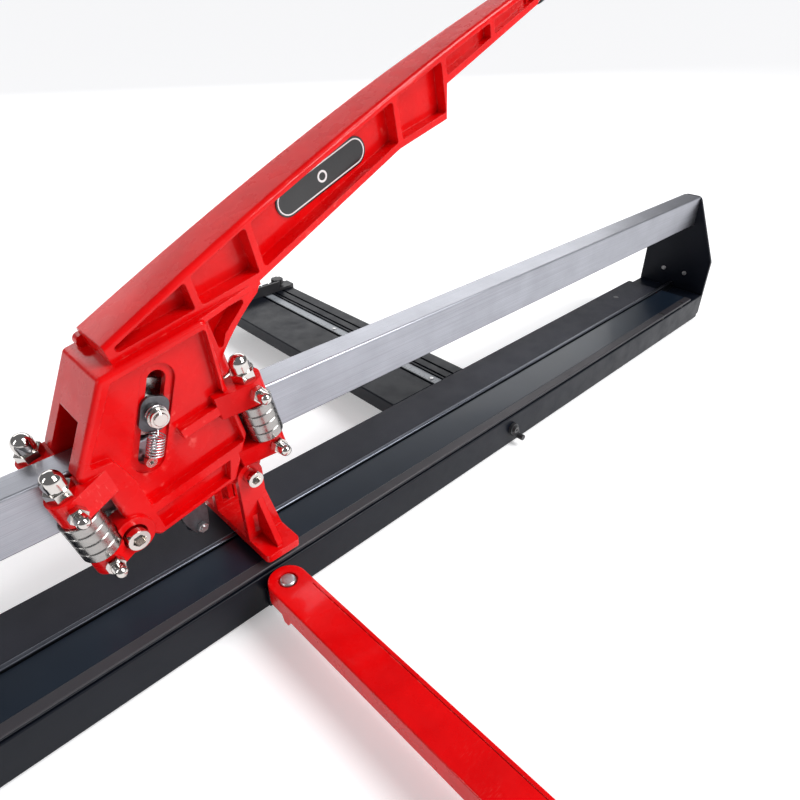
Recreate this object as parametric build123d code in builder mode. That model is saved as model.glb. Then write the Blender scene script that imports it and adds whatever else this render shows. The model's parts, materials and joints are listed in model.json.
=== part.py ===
from build123d import *

import math
import os

# Manual tile cutter: a base with two sprung platforms and a breaking ridge, a rectangular
# guide rail between two end plates, and a long-handled cast carriage that rolls along it.
# Millimetres. Origin: centre of the underside. X along the rail, Y to the rear, Z up.

# ---- Base ----
base_length = 1396.0
base_width = 122.0
base_height = 44.0
base_wall = 3.0
base_corner = 1.5
rib_offset = 9.5
foot_height = 3.0
foot_length = 40.0
foot_spacing = 560.0
foot_inset = 5.0
port_radius = 4.5
port_bore = 2.1
port_inset = 7.0

# ---- Platforms and breaking ridge ----
platform_length = 1300.0
platform_gap = 4.0
platform_plate = 2.0
platform_cover = 1.0
ridge_width = 6.0
ridge_proud = 3.0
ridge_clearance = 1.2
ridge_foot_width = 14.0
ridge_foot_height = 1.4
edge_strip_width = 12.0
edge_strip_proud = 0.8
head_radius = 4.5
head_height = 2.0
shank_radius = 2.4
screw_clearance = 0.3
thread_clearance = 0.05
rear_screw_x = (-562.0, 562.0)
rear_screw_y = 38.0
front_screw_x = (-619.0, -550.0, 550.0, 619.0)
bush_radius = 6.0

# ---- Guide rail and end plates ----
tile_gap = 114.0
rail_width = 30.0
rail_height = 50.0
rail_wall = 3.0
rail_corner = 2.0
plug_length = 25.0
plug_clearance = 0.1
plate_thickness = 6.0
plate_shoulder = 110.0
plate_corner = 10.0
plate_rivet_y = 20.0
plate_rivet_z = 79.0
rail_screw_spread = 24.0
rivet_head = 1.6

# ---- Carriage ----
carriage_x = -314.0
pitch = 12.0
top_roller_radius = 25.7
top_roller_width = 26.0
rolling_gap = 0.3
axle_radius = 6.0
running = 0.05
tunnel_half = 18.0
body_half = 34.7
floor_half = 26.7
recess_half = 24.0
rim = 7.0
slot_centre = (-2.7, -4.35)
slot_tilt = 59.2
slot_length = 82.0
slot_width = 15.0
slot_recess_width = 28.0
slot_rim_width = 40.0
shoulder_top = 54.0
ledge = -74.0
bottom_edge = -104.0
bridge_top = -93.0
guide_left = -85.0
guide_right = 78.0
bearing_radius = 16.0
bearing_width = 10.0
bearings_in_stack = 4
stack_centre = -57.6
lug_gap = 0.3
boss_radius = 13.5
upper_lug_top = -14.0
lower_lug_bottom = -96.0
adjuster_upper = -25.0
adjuster_lower = -87.0
adjuster_radius = 3.0
fulcrum_place = (-61.0, -83.0)
fulcrum_roller_radius = 13.0
fulcrum_roller_width = 24.0
fulcrum_boss_radius = 17.0
fulcrum_boss_out = 38.0
breaker_place = (47.0, -110.0)
breaker_shaft_radius = 5.0
breaker_ear_radius = 13.0
breaker_web = 6.0
foot_plate_left = -12.0
foot_plate_right = 26.0
foot_plate_half = 64.0
foot_plate_height = 8.0
foot_clearance = 5.0
wheel_place = (-8.0, -149.0)
wheel_radius = 11.0
wheel_thickness = 3.0
wheel_pin_radius = 3.0
holder_half_width = 13.0
holder_half_depth = 9.0

# ---- Handle ----
handle_start = (-9.0, 69.0)
handle_middle = (254.0, 134.8)
handle_end = (517.0, 182.4)
handle_root_half = 25.0
handle_tip_half = 14.0
handle_web_half = 8.0
handle_under = ((125.0, 53.0), (300.0, 97.0), (366.0, 101.0), (371.0, 131.0), (517.0, 162.0))
handle_flange = 6.0
handle_neck = 300.0
handle_neck_half = 21.0
pocket_round = 2.5
wall_round = 4.0
rib_half = 3.0
right_wall = 55.0
lug_root = 20.0
handle_flange_end = (125.0, -22.0)
short_ledge = (32.0, -27.0)
spring_screw_place = -35.0
spring_screw_radius = 2.5
block_flange = 3.2
block_length = 30.0
neck_length = 20.0
block_width = 23.0
axle_head_radius = 7.7
axle_head_length = 10.0
spring_coil_radius = 7.5
spring_wire = 0.8
spring_pitch = 2.6
spring_turns = 9
spring_start = 5.5
axle_nut_across = 19.0
axle_nut_height = 24.0
adjuster_nut_across = 13.0
adjuster_nut_height = 18.0
badge_length = 104.0
badge_width = 25.0
badge_tilt = 10.0
foot_rib = 6.0
foot_rib_x = 6.0
arm_tab = ((-112.0, 34.0), (-108.0, 24.0), (-102.0, 24.0), (-98.0, 34.0))
bracket_thickness = 5.0
bracket_width = 24.0
channel_inset = 52.0
channel_depth = 3.5
arm_grooves = (-13.0, 14.0, 30.0)
groove_width = 4.0
groove_depth = 2.5
bracket_length = 30.0
ruler_screw_y = (14.0, 235.0, 456.0)
stop_inset = 34.0
stop_depth = 26.0
stop_height = 18.0
hook_place = (61.0, -101.0)
holder_stem_radius = 6.0
holder_stem_length = 9.0
handle_ribs = (-5.0, 68.0, 130.0, 302.0, 369.0, 442.0, 513.0)
grip_length = 165.0
grip_radius = 17.0
grip_core_radius = 11.0
grip_rise = 11.5

# ---- Arms ----
front_arm_x = -251.3
front_arm_y = -85.3
front_arm_width = 38.0
front_arm_depth = 21.0
front_arm_wall = 2.5
front_arm_length = 450.0
front_arm_top = 53.0
arm_pin_radius = 5.0
arm_pin_head_radius = 8.0
rear_arm_left = 26.0
rear_arm_width = 142.0
rear_arm_length = 470.0
rear_arm_depth = 22.0
rear_arm_wall = 2.5
rear_arm_gap = 0.8
ruler_width = 17.0
ruler_height = 1.2
bar_radius = 6.0
bar_height = 21.0
bar_places = (58.0, 136.0)
bar_reach = 110.0
lever_x = 130.0
lever_z = 28.0

# ---- Worked out from the sizes above ----
half_length = base_length / 2
half_width = base_width / 2
deck_z = foot_height + base_height
plate_under_z = deck_z + platform_gap
cover_z = plate_under_z + platform_plate
platform_z = cover_z + platform_cover
ridge_z = platform_z + ridge_proud
platform_inner = ridge_width / 2 + ridge_clearance
strip_inner = half_width - edge_strip_width
front_screw_y = -(strip_inner + edge_strip_width / 2)
rail_bottom = platform_z + tile_gap
rail_top = rail_bottom + rail_height
rail_middle = rail_bottom + rail_height / 2
carriage_z = rail_top + top_roller_radius + rolling_gap
guide_out = rail_width / 2 + bearing_radius + rolling_gap
stack_half = bearings_in_stack * bearing_width / 2
upper_lug_bottom = stack_centre + stack_half + lug_gap
lower_lug_top = stack_centre - stack_half - lug_gap
ALONG = Vector(math.cos(math.radians(pitch)), 0, math.sin(math.radians(pitch)))
UP = Vector(-math.sin(math.radians(pitch)), 0, math.cos(math.radians(pitch)))
FRONT = Vector(0, -1, 0)
AXLE = Vector(carriage_x, 0, carriage_z)

os.makedirs("parts", exist_ok=True)


def save(piece, label):
    """Label a finished piece and write it to its own file."""
    piece.part.label = label
    export_step(piece.part, f"parts/{label}.step")


def on_casting(a, b, out=0.0):
    """Point a along, b up and out in front of the carriage's middle, from its axle."""
    return AXLE + ALONG * a + UP * b + FRONT * out


def side_plane(a=0.0, b=0.0, out=0.0, facing=1):
    """Plane facing the front (1) or the back (-1) of the carriage, out from its middle."""
    return Plane(origin=on_casting(a, b, out * facing), x_dir=ALONG, z_dir=FRONT * facing)


def top_plane(a=0.0, b=0.0, out=0.0, facing=1):
    """Plane facing up (1) or down (-1) the carriage."""
    return Plane(origin=on_casting(a, b, out), x_dir=ALONG, z_dir=UP * facing)


def base_plane(x, z, out, facing=1):
    """Plane facing the front (1) or the rear (-1) of the base, out from its middle."""
    return Plane(origin=(x, -out * facing, z), x_dir=(1, 0, 0), z_dir=(0, -facing, 0))


def end_plane(side, y=0.0, z=0.0, out=0.0):
    """Plane facing out of the left (-1) or right (1) end of the base, its y upwards."""
    return Plane(origin=(side * (half_length + out), y, z), x_dir=(0, side, 0), z_dir=(side, 0, 0))


def level_plane(x, y, z):
    """Level plane facing up."""
    return Plane(origin=(x, y, z), x_dir=(1, 0, 0), z_dir=(0, 0, 1))


def disc(plane, radius, height, bore=0.0, mode=Mode.ADD):
    """Plain or bored cylinder standing on a plane."""
    with BuildSketch(plane) as section:
        Circle(radius)
        if bore:
            Circle(bore, mode=Mode.SUBTRACT)
    extrude(section.sketch, amount=height, mode=mode)


def hexagon(plane, across_flats, height, bore=0.0, mode=Mode.ADD):
    """Hexagon head, nut or socket standing on a plane."""
    with BuildSketch(plane) as section:
        RegularPolygon(across_flats / 2, 6, major_radius=False)
        if bore:
            Circle(bore, mode=Mode.SUBTRACT)
    extrude(section.sketch, amount=height, mode=mode)


def socket_head(plane, radius, height, socket):
    """Round head with a hexagon socket, standing on a plane."""
    disc(plane, radius, height)
    hexagon(plane.offset(height), socket, -height * 0.55, mode=Mode.SUBTRACT)


def cap_nut(plane, across_flats, hex_height, total_height, bore):
    """Domed nut with a blind bore, standing on a plane."""
    dome = across_flats / 2 - 1.0
    hexagon(plane, across_flats, hex_height)
    disc(plane, dome, total_height - dome)
    with Locations(plane.offset(total_height - dome)):
        Sphere(dome)
    disc(plane, bore, total_height - dome, mode=Mode.SUBTRACT)


# ================= Base =================
with BuildPart() as base_extrusion:
    rib_gap = rib_offset * 2 - base_wall
    side_cavity = half_width - base_wall - rib_offset - base_wall / 2
    side_middle = rib_offset + base_wall / 2 + side_cavity / 2
    cavity_height = base_height - 2 * base_wall
    port_low = foot_height + port_inset
    port_high = deck_z - port_inset
    port_out = half_width - port_inset
    with BuildSketch(Plane.YZ.offset(-half_length)):
        with Locations((0, foot_height + base_height / 2)):
            RectangleRounded(base_width, base_height, base_corner)
            Rectangle(rib_gap, cavity_height, mode=Mode.SUBTRACT)
        with Locations((-side_middle, foot_height + base_height / 2)):
            Rectangle(side_cavity, cavity_height, mode=Mode.SUBTRACT)
        with Locations((side_middle, foot_height + base_height / 2)):
            Rectangle(side_cavity, cavity_height, mode=Mode.SUBTRACT)
        ports = [(s * port_out, z) for s in (-1, 1) for z in (port_low, port_high)]
        with Locations(*ports):
            Circle(port_radius)
            Circle(port_bore, mode=Mode.SUBTRACT)
    extrude(amount=base_length)
    with BuildSketch(Plane.XY.offset(deck_z)):
        with Locations(*[(x, rear_screw_y) for x in rear_screw_x]):
            Circle(shank_radius + thread_clearance)
        with Locations(*[(x, front_screw_y) for x in front_screw_x]):
            Circle(shank_radius + thread_clearance)
    extrude(amount=-base_wall, mode=Mode.SUBTRACT)
    for bar_x in bar_places:
        disc(
            base_plane(bar_x, bar_height, half_width + 1, facing=-1),
            bar_radius + running,
            -(half_width + rib_offset + base_wall + 1),
            mode=Mode.SUBTRACT,
        )
save(base_extrusion, "base_extrusion")

with BuildPart() as rubber_feet:
    with BuildSketch(Plane.XY):
        with GridLocations(foot_spacing, 0, 3, 1):
            RectangleRounded(foot_length, base_width - 2 * foot_inset, 4)
    extrude(amount=foot_height)
save(rubber_feet, "rubber_feet")

with BuildPart() as breaking_ridge:
    with BuildSketch(Plane.YZ.offset(-half_length)):
        with Locations((0, deck_z + ridge_foot_height / 2)):
            Rectangle(ridge_foot_width, ridge_foot_height)
        with Locations((0, (deck_z + ridge_z) / 2)):
            Rectangle(ridge_width, ridge_z - deck_z)
    extrude(amount=base_length)
    top_edges = breaking_ridge.edges().filter_by(Axis.X).group_by(Axis.Z)[-1]
    fillet(top_edges, ridge_width * 0.3)
save(breaking_ridge, "breaking_ridge")


# ================= Platforms =================
def pocketed_plate(y_low, y_high, screws):
    """Platform plate, its holes sunk for the heads of the guide screws."""
    with BuildPart() as plate:
        with BuildSketch(Plane.XY.offset(plate_under_z)):
            with Locations((0, (y_low + y_high) / 2)):
                Rectangle(platform_length, y_high - y_low)
            with Locations(*screws):
                Circle(shank_radius + screw_clearance, mode=Mode.SUBTRACT)
        extrude(amount=platform_plate)
        with BuildSketch(Plane.XY.offset(platform_z - head_height)):
            with Locations(*screws):
                Circle(head_radius + screw_clearance)
        extrude(amount=head_height, mode=Mode.SUBTRACT)
    return plate


def cover(y_low, y_high, z_low, height, screws):
    """Thin cover on a platform, with holes for the screw heads."""
    with BuildPart() as sheet:
        with BuildSketch(Plane.XY.offset(z_low)):
            with Locations((0, (y_low + y_high) / 2)):
                Rectangle(platform_length, y_high - y_low)
            if screws:
                with Locations(*screws):
                    Circle(head_radius + screw_clearance, mode=Mode.SUBTRACT)
        extrude(amount=height)
        edges = sheet.edges().filter_by(Axis.X).group_by(Axis.Z)[-1]
        chamfer(edges, height * 0.4)
    return sheet


rear_places = [(x, rear_screw_y) for x in rear_screw_x]
front_places = [(x, front_screw_y) for x in front_screw_x]
rear_platform = pocketed_plate(platform_inner, half_width, rear_places)
save(rear_platform, "rear_platform")
save(cover(platform_inner, half_width, cover_z, platform_cover, rear_places), "rear_pad")
front_platform = pocketed_plate(-half_width, -platform_inner, front_places)
save(front_platform, "front_platform")
save(cover(-strip_inner, -platform_inner, cover_z, platform_cover, []), "front_pad")
strip_height = platform_cover + edge_strip_proud
front_edge_strip = cover(-half_width, -strip_inner, cover_z, strip_height, front_places)
save(front_edge_strip, "front_edge_strip")

with BuildPart() as platform_screws:
    for x, y in rear_places + front_places:
        disc(level_plane(x, y, platform_z - head_height), head_radius, head_height)
        shank_foot = deck_z - base_wall * 0.8
        disc(level_plane(x, y, shank_foot), shank_radius, deck_z + platform_gap + 1 - shank_foot)
save(platform_screws, "platform_screws")


def spring_bushes(places):
    """Rubber spring bushes between the deck and a platform, round its guide screws."""
    with BuildPart() as bushes:
        for x, y in places:
            reach = min(bush_radius, half_width - abs(y) - 0.5)
            disc(level_plane(x, y, deck_z), reach, platform_gap, bore=shank_radius + screw_clearance)
    return bushes


save(spring_bushes(front_places), "front_platform_springs")
save(spring_bushes(rear_places), "rear_platform_springs")

# ================= Rail and end plates =================
with BuildPart() as guide_rail:
    with BuildSketch(Plane.YZ.offset(-half_length)):
        with Locations((0, rail_middle)):
            RectangleRounded(rail_width, rail_height, rail_corner)
            RectangleRounded(
                rail_width - 2 * rail_wall,
                rail_height - 2 * rail_wall,
                rail_corner / 2,
                mode=Mode.SUBTRACT,
            )
    extrude(amount=base_length)
save(guide_rail, "guide_rail")

rail_screw_z = (rail_middle - rail_screw_spread / 2, rail_middle + rail_screw_spread / 2)
with BuildPart() as rail_plugs:
    for side in (-1, 1):
        with BuildSketch(end_plane(side, z=rail_middle)):
            inside = 2 * (rail_wall + plug_clearance)
            RectangleRounded(rail_width - inside, rail_height - inside, rail_corner)
            with Locations((0, -rail_screw_spread / 2), (0, rail_screw_spread / 2)):
                Circle(shank_radius + thread_clearance, mode=Mode.SUBTRACT)
        extrude(amount=-plug_length)
save(rail_plugs, "rail_plugs")

corner_screws = [(s * port_out, z) for s in (-1, 1) for z in (port_low, port_high)]
rail_screws = [(0, z) for z in rail_screw_z]
rivets = [(s * plate_rivet_y, plate_rivet_z) for s in (-1, 1)]


def end_plate(side):
    """Plate that closes one end of the base and carries the rail."""
    with BuildPart() as plate:
        with BuildSketch(end_plane(side)):
            with BuildLine():
                Polyline(
                    (-half_width, foot_height),
                    (half_width, foot_height),
                    (half_width, plate_shoulder),
                    (rail_width / 2, rail_top),
                    (-rail_width / 2, rail_top),
                    (-half_width, plate_shoulder),
                    close=True,
                )
            outline = make_face()
            fillet(outline.vertices().group_by(Axis.Z)[0], plate_corner)
            with Locations(*corner_screws):
                Circle(port_bore, mode=Mode.SUBTRACT)
            with Locations(*rail_screws):
                Circle(shank_radius + thread_clearance, mode=Mode.SUBTRACT)
            with Locations(*rivets):
                Circle(shank_radius + thread_clearance, mode=Mode.SUBTRACT)
        extrude(amount=plate_thickness)
        outer_face = plate.faces().sort_by(Axis.X)[0 if side < 0 else -1]
        chamfer(outer_face.outer_wire().edges(), 1.0)
    return plate


save(end_plate(-1), "end_plate_left")
save(end_plate(1), "end_plate_right")

with BuildPart() as end_plate_screws:
    for side in (-1, 1):
        for y, z in corner_screws:
            plane = end_plane(side, y, z, plate_thickness)
            socket_head(plane, head_radius, 3.5, 3.0)
            disc(plane, port_bore - thread_clearance, -16.0)
save(end_plate_screws, "end_plate_screws")

with BuildPart() as rail_end_screws:
    for side in (-1, 1):
        for y, z in rail_screws:
            plane = end_plane(side, y, z, plate_thickness)
            socket_head(plane, head_radius + 0.5, 4.5, 4.0)
            disc(plane, shank_radius, -22.0)
save(rail_end_screws, "rail_end_screws")

with BuildPart() as plate_rivets:
    for side in (-1, 1):
        for y, z in rivets:
            inner = end_plane(side, y, z)
            disc(inner, shank_radius, plate_thickness)
            disc(inner, head_radius - 0.8, -rivet_head)
            disc(inner.offset(plate_thickness), head_radius - 0.8, rivet_head)
save(plate_rivets, "plate_rivets")

# ================= Carriage casting =================
def slot_outline(width, plane):
    """Outline round the inclined slot, of the given width, on a plane of the carriage."""
    with BuildSketch(plane) as outline:
        with Locations(slot_centre):
            SlotOverall(slot_length + width - slot_width, width, rotation=slot_tilt)
    return outline.sketch


def slot_point(distance):
    """Point of the slot's middle line, a distance up from its centre."""
    tilt = math.radians(slot_tilt)
    return (slot_centre[0] + distance * math.cos(tilt), slot_centre[1] + distance * math.sin(tilt))


def handle_top(a):
    """Height of the handle's top edge at a, on the circle through its three points."""
    (x1, y1), (x2, y2), (x3, y3) = handle_start, handle_middle, handle_end
    s1, s2, s3 = x1**2 + y1**2, x2**2 + y2**2, x3**2 + y3**2
    d = 2 * (x1 * (y2 - y3) + x2 * (y3 - y1) + x3 * (y1 - y2))
    centre_x = (s1 * (y2 - y3) + s2 * (y3 - y1) + s3 * (y1 - y2)) / d
    centre_y = (s1 * (x3 - x2) + s2 * (x1 - x3) + s3 * (x2 - x1)) / d
    radius = math.dist((centre_x, centre_y), handle_start)
    return centre_y + math.sqrt(radius**2 - (a - centre_x) ** 2)


def handle_bottom(a):
    """Height of the handle's lower edge at a: the shoulder, then the line of its points."""
    points = ((handle_start[0], shoulder_top), *handle_under)
    for (a0, b0), (a1, b1) in zip(points, points[1:]):
        if a <= a1:
            return b0 + (b1 - b0) * (a - a0) / (a1 - a0)
    return points[-1][1]


def handle_pocket(a0, a1):
    """Outline of the handle's pocket between two ribs, inside the flanges."""
    low0 = handle_bottom(a0) + handle_flange
    low1 = handle_bottom(a1) + handle_flange
    high0 = handle_top(a0) - handle_flange
    high1 = handle_top(a1) - handle_flange
    with BuildSketch(side_plane(out=handle_web_half)) as outline:
        Polygon((a0, low0), (a1, low1), (a1, high1), (a0, high0), align=None)
        fillet(outline.vertices(), pocket_round)
    return outline.sketch


def lug(middle, near, b_low, b_high):
    """Lug from the side wall at near out to the boss round a guide axle at middle."""
    with BuildSketch(top_plane(b=b_low)) as plan:
        with Locations((middle, -guide_out)):
            Circle(boss_radius)
        with Locations((near, -(tunnel_half + body_half) / 2)):
            Rectangle(lug_root, body_half - tunnel_half)
        make_hull()
    extrude(plan.sketch, amount=b_high - b_low)


body_outline = (
    (-24.0, shoulder_top),
    (66.0, shoulder_top),
    (60.0, -8.0),
    (60.0, -66.0),
    (34.0, bottom_edge),
    (-44.0, bottom_edge),
    (-60.0, -82.0),
    (-60.0, -40.0),
    (-70.0, -30.0),
    (-72.0, -8.0),
)
wall_pocket = (
    (-18.0, shoulder_top - rim),
    (62.0, shoulder_top - rim),
    (55.0, -10.0),
    (55.0, ledge + 4.0),
    (-38.0, ledge + 4.0),
    (-38.0, -39.0),
    (-44.0, -12.0),
    (-62.0, -7.0),
)
lower_pocket = (
    (-38.0, ledge - 5.0),
    (36.0, ledge - 5.0),
    (29.0, bottom_edge + rim - 1),
    (-38.0, bottom_edge + rim - 1),
)
tunnel = (
    (-130.0, 23.0),
    (-43.0, 23.0),
    (-20.0, shoulder_top - rim),
    (56.0, shoulder_top - rim),
    (54.0, 4.0),
    (130.0, 4.0),
    (130.0, -130.0),
    (30.0, -130.0),
    (30.0, bridge_top),
    (-40.0, bridge_top),
    (-40.0, -130.0),
    (-130.0, -130.0),
)
gusset_pocket = ((70.0, 47.0), (110.0, 47.0), (80.0, 27.0), (70.0, 12.0))
fulcrum_seat = fulcrum_boss_out - 9
grip_start = (handle_end[0] + 5, (handle_under[-1][1] + handle_end[1]) / 2 + 1)
grip_angle = math.radians(pitch + grip_rise)
GRIP_AXIS = Vector(math.cos(grip_angle), 0, math.sin(grip_angle))
grip_plane = Plane(origin=on_casting(*grip_start), x_dir=(0, 1, 0), z_dir=GRIP_AXIS)

with BuildPart() as carriage_casting:
    # The front half is built here, and the rear half is its mirror image.
    with BuildSketch(side_plane()):
        with BuildLine():
            ThreePointArc(handle_start, handle_middle, handle_end)
            Polyline(handle_end, *reversed(handle_under), (handle_start[0], shoulder_top))
            Line((handle_start[0], shoulder_top), handle_start)
        make_face()
        with BuildLine():
            Polyline((right_wall, shoulder_top), handle_under[0], (119, 45))
            ThreePointArc((119, 45), (86, 24), (right_wall, -6))
            Line((right_wall, -6), (right_wall, shoulder_top))
        make_face()
    extrude(amount=handle_root_half)
    with BuildSketch(top_plane(b=-20)):
        Polygon(
            (handle_start[0], 0),
            (handle_end[0], 0),
            (handle_end[0], -handle_tip_half),
            (handle_neck, -handle_neck_half),
            (handle_start[0], -handle_root_half),
            align=None,
        )
    extrude(amount=260, mode=Mode.INTERSECT)
    arched = carriage_casting.faces().filter_by(GeomType.CYLINDER).sort_by(SortBy.AREA)[-1]
    fillet(arched.edges().filter_by(GeomType.CIRCLE, reverse=True).group_by(Axis.Y)[0], 4.0)
    for a0, a1 in zip(handle_ribs, handle_ribs[1:]):
        pocket = handle_pocket(a0 + rib_half, a1 - rib_half)
        extrude(pocket, amount=handle_root_half, mode=Mode.SUBTRACT)
    # Body: side wall, shoulder and flange up to the handle.
    with BuildSketch(side_plane()):
        outline = Polygon(*body_outline, align=None)
        fillet(outline.vertices().group_by(Axis.Z)[-1], 5)
    extrude(amount=body_half)
    front_face = carriage_casting.faces().sort_by(Axis.Y)[0]
    fillet(front_face.outer_wire().edges(), wall_round)
    with BuildSketch(top_plane(b=shoulder_top - 5)):
        Polygon((right_wall, 0), handle_flange_end, (right_wall, 3 - body_half), align=None)
    extrude(amount=5)
    with BuildSketch(side_plane()):
        Polygon(*tunnel, align=None)
    extrude(amount=tunnel_half, mode=Mode.SUBTRACT)
    with BuildSketch(side_plane(out=handle_web_half)):
        gusset = Polygon(*gusset_pocket, align=None)
        fillet(gusset.vertices(), pocket_round)
    extrude(amount=body_half, mode=Mode.SUBTRACT)
    with BuildSketch(side_plane(out=floor_half)):
        pocket = Polygon(*wall_pocket, align=None)
        fillet(pocket.vertices(), 3)
        add(slot_outline(slot_rim_width, side_plane(out=floor_half)), mode=Mode.SUBTRACT)
        with Locations(short_ledge):
            Rectangle(44, 9, mode=Mode.SUBTRACT)
        low = Polygon(*lower_pocket, align=None)
    extrude(amount=body_half, mode=Mode.SUBTRACT)
    # Lugs for the guide axles, the boss of the fulcrum roller, ears for the breaker foot.
    for middle, near in ((guide_left, -62.0), (guide_right, right_wall)):
        lug(middle, near, upper_lug_bottom, upper_lug_top)
        lug(middle, near, lower_lug_bottom, lower_lug_top)
    disc(side_plane(*fulcrum_place, tunnel_half), fulcrum_boss_radius, fulcrum_boss_out - tunnel_half)
    with BuildSketch(side_plane(out=tunnel_half)):
        with Locations(breaker_place):
            Circle(breaker_ear_radius)
        with Locations((36, bridge_top - 2)):
            Rectangle(30, 14)
        with Locations(hook_place):
            Circle(6.5)
        make_hull()
        with Locations(hook_place):
            Circle(2.5, mode=Mode.SUBTRACT)
    extrude(amount=floor_half - tunnel_half)
    for middle in (guide_left, guide_right):
        stack_room = top_plane(middle, lower_lug_top, guide_out)
        disc(stack_room, bearing_radius + 0.6, upper_lug_bottom - lower_lug_top, mode=Mode.SUBTRACT)
    # Slot with its recess, then every bore.
    recess = slot_outline(slot_recess_width, side_plane(out=recess_half))
    extrude(recess, amount=body_half, mode=Mode.SUBTRACT)
    extrude(slot_outline(slot_width, side_plane()), amount=body_half, mode=Mode.SUBTRACT)
    for middle in (guide_left, guide_right):
        bore = top_plane(middle, lower_lug_bottom - 1, guide_out)
        disc(bore, axle_radius + running, upper_lug_top - lower_lug_bottom + 2, mode=Mode.SUBTRACT)
        for height in (adjuster_upper, adjuster_lower):
            screw = side_plane(middle, height, guide_out)
            disc(screw, adjuster_radius + running, boss_radius + 1, mode=Mode.SUBTRACT)
    disc(side_plane(*fulcrum_place), axle_radius + running, body_half + 9, mode=Mode.SUBTRACT)
    disc(side_plane(*fulcrum_place, fulcrum_seat), 10.5, 40, mode=Mode.SUBTRACT)
    disc(side_plane(*breaker_place), breaker_shaft_radius + running, body_half, mode=Mode.SUBTRACT)
    spring_screw_bore = side_plane(*slot_point(spring_screw_place), recess_half - 5)
    disc(spring_screw_bore, spring_screw_radius + running, 10, mode=Mode.SUBTRACT)
    mirror(about=Plane.XZ)
    stem = top_plane(wheel_place[0], bottom_edge - 1)
    disc(stem, holder_stem_radius + running, holder_stem_length + 1.5, mode=Mode.SUBTRACT)
    disc(grip_plane.offset(-20), grip_core_radius - 1, 21)
    disc(grip_plane, grip_core_radius, grip_length - 4)
    disc(grip_plane.offset(-4), grip_radius - 2, 4)
    nub = side_plane(handle_start[0] - 1, 58, -handle_root_half + 6)
    disc(nub, 5.5, -8)
save(carriage_casting, "carriage_casting")


# ================= Truck: top roller, its axle and the slide blocks =================
with BuildPart() as top_roller:
    with BuildSketch(side_plane(out=-top_roller_width / 2)):
        Circle(top_roller_radius)
        Circle(axle_radius + running, mode=Mode.SUBTRACT)
    extrude(amount=top_roller_width)
    chamfer(top_roller.edges().filter_by(GeomType.CIRCLE).group_by(SortBy.RADIUS)[-1], 1.0)
save(top_roller, "top_roller")

block_neck_out = tunnel_half + 0.2
block_flange_out = recess_half + running
axle_head_out = block_flange_out + block_flange + 0.2
with BuildPart() as truck_axle:
    disc(side_plane(out=-axle_head_out), axle_radius, 2 * axle_head_out)
    disc(side_plane(out=axle_head_out), axle_head_radius, axle_head_length)
    disc(side_plane(out=axle_head_out + axle_head_length), axle_head_radius - 2, 1.6)
    disc(side_plane(out=axle_head_out + 5.0), axle_head_radius + 1, 1.6)
    disc(side_plane(out=axle_head_out, facing=-1), axle_radius - 1, 11)
    chamfer(truck_axle.edges().filter_by(GeomType.CIRCLE).group_by(Axis.Y)[0], 0.6)
save(truck_axle, "truck_axle")

with BuildPart() as axle_nut:
    plane = side_plane(out=axle_head_out + 0.2, facing=-1)
    hexagon(plane, 17.0, 9.0, bore=axle_radius - 1 + running)
save(axle_nut, "axle_nut")

with BuildPart() as axle_spacers:
    for facing in (1, -1):
        plane = side_plane(out=top_roller_width / 2 + rolling_gap, facing=facing)
        length = tunnel_half - top_roller_width / 2 - rolling_gap - 0.1
        disc(plane, axle_radius + 3.5, length, bore=axle_radius + running)
save(axle_spacers, "axle_spacers")

with BuildPart() as slide_blocks:
    for facing in (1, -1):
        with BuildSketch(side_plane(out=block_neck_out, facing=facing)):
            neck = Rectangle(neck_length, slot_width - 0.4, rotation=slot_tilt * facing)
            fillet(neck.vertices(), 3)
            Circle(axle_radius + running, mode=Mode.SUBTRACT)
        extrude(amount=block_flange_out - block_neck_out)
        with BuildSketch(side_plane(out=block_flange_out, facing=facing)):
            flange = Rectangle(block_length, block_width, rotation=slot_tilt * facing)
            fillet(flange.vertices(), 8)
            Circle(axle_radius + running, mode=Mode.SUBTRACT)
        extrude(amount=block_flange)
save(slide_blocks, "slide_blocks")


# ================= Lift springs and their screws =================
spring_low = slot_point(spring_screw_place)
tilt_vector = ALONG * math.cos(math.radians(slot_tilt)) + UP * math.sin(math.radians(slot_tilt))
spring_out = block_flange_out + block_flange + rolling_gap + spring_coil_radius


def lift_spring(facing):
    """Extension spring from the axle's head down to the screw at the slot's foot."""
    bottom = on_casting(*spring_low, spring_out * facing) + tilt_vector * spring_start
    plane = Plane(origin=bottom, x_dir=FRONT * facing, z_dir=tilt_vector)
    with BuildPart() as coil:
        with BuildLine(plane):
            spiral = Helix(spring_pitch, spring_pitch * spring_turns, spring_coil_radius - spring_wire)
        with BuildSketch(Plane(origin=spiral @ 0, z_dir=spiral % 0)):
            Circle(spring_wire)
        sweep(is_frenet=True)
    return coil


save(lift_spring(1), "lift_spring_front")
save(lift_spring(-1), "lift_spring_rear")

with BuildPart() as spring_screws:
    for facing in (1, -1):
        plane = side_plane(*spring_low, recess_half + running, facing=facing)
        disc(plane, spring_screw_radius, -4.5)
        disc(plane, spring_screw_radius + 0.6, 4.0)
        socket_head(plane.offset(4.0), spring_screw_radius + 2.0, 4.5, 3.2)
save(spring_screws, "spring_screws")


# ================= Guide rollers =================
def guide_stack(middle, facing):
    """Stack of ball-bearing rings on one guide axle."""
    with BuildPart() as stack:
        for number in range(bearings_in_stack):
            low = stack_centre - stack_half + number * bearing_width + 0.1
            plane = top_plane(middle, low, guide_out * facing)
            disc(plane, bearing_radius, bearing_width - 0.2, bore=axle_radius + running)
        chamfer(stack.edges().filter_by(GeomType.CIRCLE).group_by(SortBy.RADIUS)[-1], 0.8)
    return stack


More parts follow.
